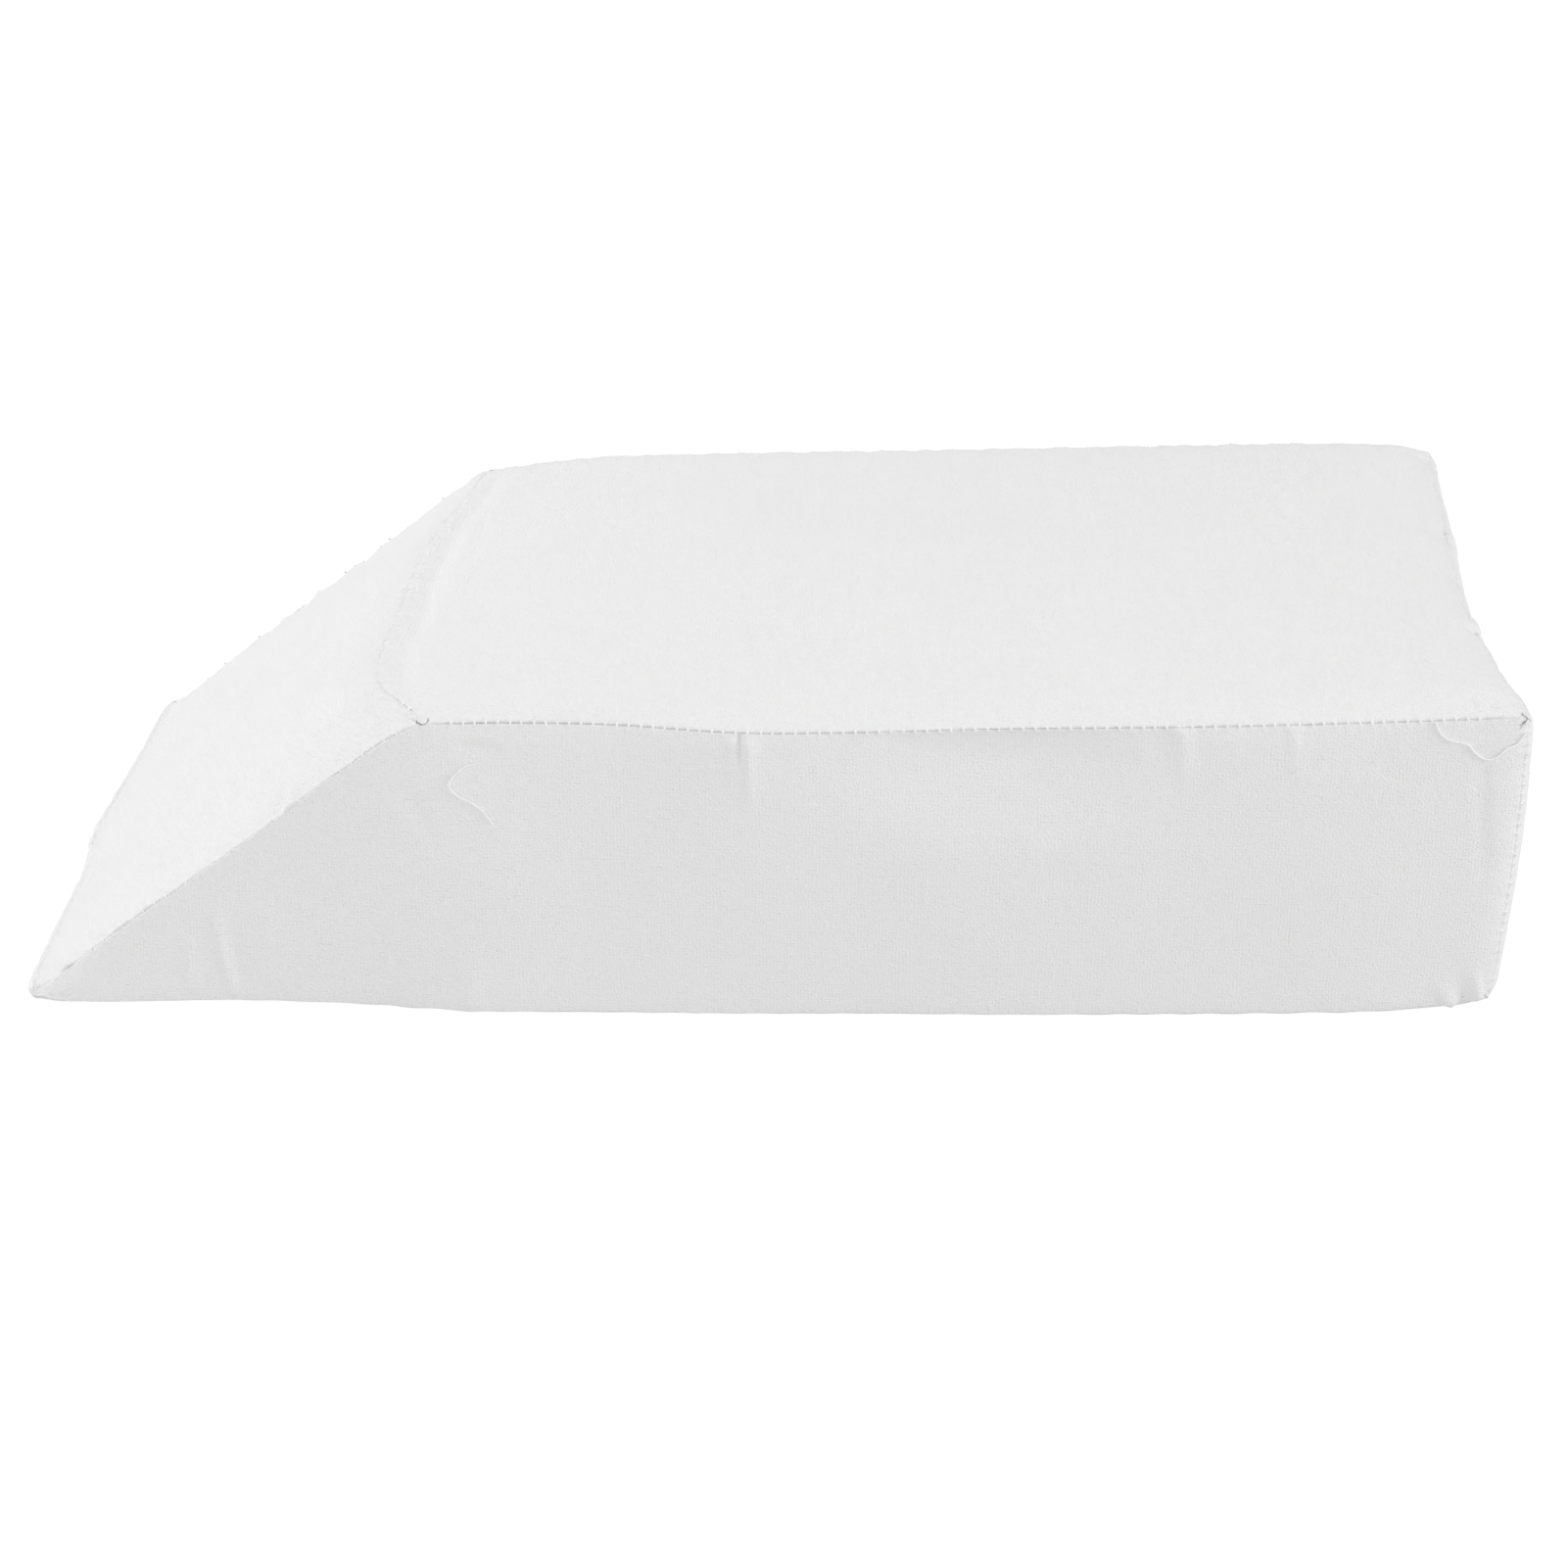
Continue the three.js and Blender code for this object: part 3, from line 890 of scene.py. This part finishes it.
def clothMaterial():
    material = bpy.data.materials.new("whiteCloth")
    material.use_nodes = True
    nodes = Nodes(material)
    shader = material.node_tree.nodes["Principled BSDF"]
    flat = nodes.add("ShaderNodeUVMap", uv_map="clothFlat").outputs["UV"]
    bands = {}
    for direction in ("X", "Y"):
        wave = nodes.add("ShaderNodeTexWave", {
            "Vector": flat,
            "Scale": cloth["threads"] * math.pi / 20,     # each band is two threads wide
            "Distortion": cloth["threadDistortion"],
            "Detail": cloth["threadDetail"],
            "Detail Scale": cloth["threadDetailScale"],
        }, wave_type="BANDS", bands_direction=direction, wave_profile="SIN")
        bands[direction] = wave.outputs["Fac"]
    weave = nodes.math("MAXIMUM", bands["X"], bands["Y"])
    slubs = nodes.add("ShaderNodeTexNoise", {
        "Vector": flat, "Scale": cloth["slubScale"], "Detail": 2,
    }).outputs["Fac"]
    clouds = nodes.add("ShaderNodeTexNoise", {
        "Vector": flat, "Scale": cloth["cloudScale"], "Detail": 4,
    }).outputs["Fac"]
    gap = nodes.add("ShaderNodeAttribute", attribute_name="seamGap").outputs["Fac"]
    run = nodes.add("ShaderNodeAttribute", attribute_name="seamAt").outputs["Fac"]
    phase = nodes.math("MULTIPLY", run, 2 * math.pi / cloth["stitchPitch"])
    gathers = nodes.math("SINE", phase)
    closeness = nodes.add("ShaderNodeMapRange", {
        "Value": gap, "From Min": cloth["gatherFrom"], "From Max": cloth["gatherTo"],
        "To Min": 1.0, "To Max": 0.0,
    }, interpolation_type="SMOOTHSTEP").outputs["Result"]
    gathered = nodes.math("MULTIPLY", gathers, closeness)
    weaveBump = nodes.add("ShaderNodeBump", {"Height": weave, "Distance": cloth["weaveHeight"]})
    slubBump = nodes.add("ShaderNodeBump", {
        "Height": slubs, "Distance": cloth["slubHeight"], "Normal": weaveBump.outputs["Normal"],
    })
    gatherBump = nodes.add("ShaderNodeBump", {
        "Height": gathered, "Distance": cloth["gatherHeight"], "Normal": slubBump.outputs["Normal"],
    })
    cloudPart = nodes.math("MULTIPLY", clouds, 1 - cloth["slubShare"])
    slubPart = nodes.math("MULTIPLY", slubs, cloth["slubShare"])
    patchy = nodes.math("ADD", cloudPart, slubPart)
    tint = nodes.add("ShaderNodeMix", {
        "Factor": patchy, 6: cloth["shade"], 7: cloth["white"],
    }, data_type="RGBA").outputs[2]
    # Painted shade: the cloth's colour darkens towards each seam line, more where the seam gapes
    depth = nodes.add("ShaderNodeMapRange", {
        "Value": gap, "From Min": cloth["paintedShadeStart"], "From Max": cloth["paintedShadeHalfWidth"],
        "To Min": 1.0, "To Max": 0.0,
    }, interpolation_type="SMOOTHSTEP").outputs["Result"]
    gape = nodes.add("ShaderNodeAttribute", attribute_name="seamGape").outputs["Fac"]
    colour = nodes.add("ShaderNodeMix", {
        "Factor": nodes.math("MULTIPLY", depth, gape), 6: tint, 7: cloth["seamPaintedShade"],
    }, data_type="RGBA").outputs[2]
    material.node_tree.links.new(colour, shader.inputs["Base Color"])
    material.node_tree.links.new(gatherBump.outputs["Normal"], shader.inputs["Normal"])
    shader.inputs["Roughness"].default_value = cloth["roughness"]
    shader.inputs["Sheen Weight"].default_value = cloth["sheen"]
    shader.inputs["Sheen Roughness"].default_value = cloth["sheenRoughness"]
    shader.inputs["Specular IOR Level"].default_value = cloth["specular"]
    return material


cover.data.materials.clear()
cover.data.materials.append(clothMaterial())
print("cloth woven")


# Stitches: short bars of thread that cross the seams
stitches = {
    "pitch": 3.9,
    "thread": 0.38,           # half of the thread's thickness
    "halfLength": 0.95,
    "arch": 0.5,
    "level": 0.8,             # share of the seam's depth at which the thread crosses it
    "above": 0.12,
    "shownFrom": 0.25,        # stitches show only where a seam gapes this far
    "lean": 0.12,             # how unevenly the stitches turn
    "drift": 0.15,            # how far they stray along the seam
    "sides": 6,
    "cuts": 4,
    "taper": 0.55,            # how much thinner a stitch is at its ends
    "shade": (0.93, 0.93, 0.93, 1),
    "colour": (0.98, 0.98, 0.975, 1),
    "fibreScale": 5200,
    "fibreHeight": 0.00005,
    "roughness": 0.75,
}


def threadMaterial():
    material = bpy.data.materials.new("whiteThread")
    material.use_nodes = True
    nodes = Nodes(material)
    shader = material.node_tree.nodes["Principled BSDF"]
    place = nodes.add("ShaderNodeTexCoord").outputs["Object"]
    fibres = nodes.add("ShaderNodeTexNoise", {
        "Vector": place, "Scale": stitches["fibreScale"], "Detail": 2,
    }).outputs["Fac"]
    twist = nodes.add("ShaderNodeBump", {"Height": fibres, "Distance": stitches["fibreHeight"]})
    tint = nodes.add("ShaderNodeMix", {
        "Factor": fibres, 6: stitches["shade"], 7: stitches["colour"],
    }, data_type="RGBA").outputs[2]
    material.node_tree.links.new(tint, shader.inputs["Base Color"])
    material.node_tree.links.new(twist.outputs["Normal"], shader.inputs["Normal"])
    shader.inputs["Roughness"].default_value = stitches["roughness"]
    return material


threadWhite = threadMaterial()


# One stitch along Z: a bar of thread whose ends dip into the cloth
def addStitch():
    deselectAll()
    length = 2 * stitches["halfLength"]
    bpy.ops.mesh.primitive_cylinder_add(
        vertices=stitches["sides"], radius=stitches["thread"], depth=length)
    stitch = bpy.context.object
    bpy.ops.object.mode_set(mode="EDIT")
    bpy.ops.mesh.select_mode(type="EDGE")
    cutAlong(stitch.data, 2, -1, 1, stitches["cuts"])
    bpy.ops.object.mode_set(mode="OBJECT")
    points = readPoints(stitch.data)
    part = points[:, 2] / stitches["halfLength"]
    points[:, :2] *= (1 - stitches["taper"] * part ** 4)[:, None]
    points[:, 0] -= stitches["arch"] * part ** 2
    writePoints(stitch.data, points)
    return stitch


# Points and outward directions along a seam of the finished cover, in order
def seamLine(mesh, name):
    at, across, up = (readValues(mesh, value) for value in ("station", "across", "up"))
    distance, applies, run = seamDistances(at, across, up)[name]
    on = np.flatnonzero(applies & (distance < 0.001))
    order = on[np.argsort(run[on])]
    return run[order], readPoints(mesh)[order], readNormals(mesh)[order]


def unit(vectors):
    return vectors / np.linalg.norm(vectors, axis=-1, keepdims=True)


def sewSeam(mesh, name, pattern, draw):
    seam = seams[name]
    runs, line, outward = seamLine(mesh, name)
    places = np.arange(*seam["stitched"], stitches["pitch"])
    places = places[gapeAt(name, places) > stitches["shownFrom"]]
    places = places + draw.uniform(-stitches["drift"], stitches["drift"], len(places))

    def onLine(values, where):
        return np.stack([np.interp(where, runs, column) for column in values.T], axis=1)

    middle = onLine(line, places)
    forward = unit(onLine(line, places + 1) - onLine(line, places - 1))
    rise = unit(onLine(outward, places))
    leaning = draw.normal(0, stitches["lean"], len(places))[:, None]
    sideways = unit(np.cross(forward, rise) + forward * leaning)
    forward = unit(np.cross(rise, sideways))
    level = drawnDepth(name, places) * stitches["level"] + stitches["above"]
    middle = middle + rise * (level * millimetre)[:, None]
    bars = pattern[:, 0, None] * rise[:, None] + pattern[:, 1, None] * forward[:, None]
    bars = bars + pattern[:, 2, None] * sideways[:, None]
    return middle[:, None] + bars * millimetre


def sewCover(mesh):
    stitch = addStitch()
    pattern = readPoints(stitch.data)
    faces = [tuple(face.vertices) for face in stitch.data.polygons]
    bpy.ops.object.delete()
    draw = np.random.default_rng(7)
    rows = [sewSeam(mesh, name, pattern, draw) for name, seam in seams.items() if seam["stitched"]]
    bars = np.concatenate(rows)
    points = bars.reshape(-1, 3)
    allFaces = []
    for index in range(len(bars)):
        first = index * len(pattern)
        allFaces += [tuple(first + corner for corner in face) for face in faces]
    sewn = bpy.data.meshes.new("seamStitches")
    sewn.from_pydata(points.tolist(), [], allFaces)
    sewn.materials.append(threadWhite)
    piece = bpy.data.objects.new("seamStitches", sewn)
    bpy.context.scene.collection.objects.link(piece)
    deselectAll()
    piece.select_set(True)
    bpy.context.view_layer.objects.active = piece
    bpy.ops.object.mode_set(mode="EDIT")
    bpy.ops.mesh.select_all(action="SELECT")
    bpy.ops.mesh.normals_make_consistent(inside=False)
    bpy.ops.object.mode_set(mode="OBJECT")
    bpy.ops.object.shade_smooth()
    print("stitches sewn:", len(bars))
    return piece


seamStitches = sewCover(cover.data)


# Ends of sewing thread left loose on the near side: stations and heights that they pass
looseThreads = {
    "thickness": 0.8,
    "lift": 0.1,
    "castFrom": -400,         # the routes are laid onto the near side from this far in front
    "left": ((157, 95), (153.5, 94), (150, 91), (148, 87.5), (150, 84), (154.5, 81.5), (159, 78),
             (162, 73.5)),
    "right": ((470, 112.6), (472, 109), (475, 107), (481, 105.3), (484, 102), (488, 100), (491, 101),
              (494, 104), (497, 105.4), (499.3, 109)),
}


def layThread(name, route, surface):
    deselectAll()
    bpy.ops.curve.primitive_bezier_curve_add()
    thread = bpy.context.object
    thread.name = name
    thread.location = (0, 0, 0)
    spline = thread.data.splines[0]
    spline.bezier_points.add(len(route) - 2)
    for knot, (station, height) in zip(spline.bezier_points, route):
        start = Vector((station + shiftX, looseThreads["castFrom"], height)) * millimetre
        hit, normal = surface.ray_cast(start, Vector((0, 1, 0)))[:2]
        away = (looseThreads["thickness"] / 2 + looseThreads["lift"]) * millimetre
        knot.co = hit + normal * away
        knot.handle_left_type = "AUTO"
        knot.handle_right_type = "AUTO"
    thread.data.dimensions = "3D"
    thread.data.resolution_u = 8
    thread.data.bevel_depth = looseThreads["thickness"] / 2 * millimetre
    thread.data.bevel_resolution = 2
    thread.data.use_fill_caps = True
    bpy.ops.object.convert(target="MESH")
    bpy.ops.object.shade_smooth()
    thread = bpy.context.object
    thread.data.materials.append(threadWhite)
    return thread


def coverSurface(mesh):
    corners = [tuple(face.vertices) for face in mesh.polygons]
    return bvhtree.BVHTree.FromPolygons([vertex.co for vertex in mesh.vertices], corners)


shiftX = shift[0] / millimetre
coverSkin = coverSurface(cover.data)
threadLeft = layThread("looseThreadLeft", looseThreads["left"], coverSkin)
threadRight = layThread("looseThreadRight", looseThreads["right"], coverSkin)
print("loose threads laid")


for piece in (cover, seamStitches, threadLeft, threadRight):
    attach(piece, "root")
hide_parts("pillow")

print("pillow finished")
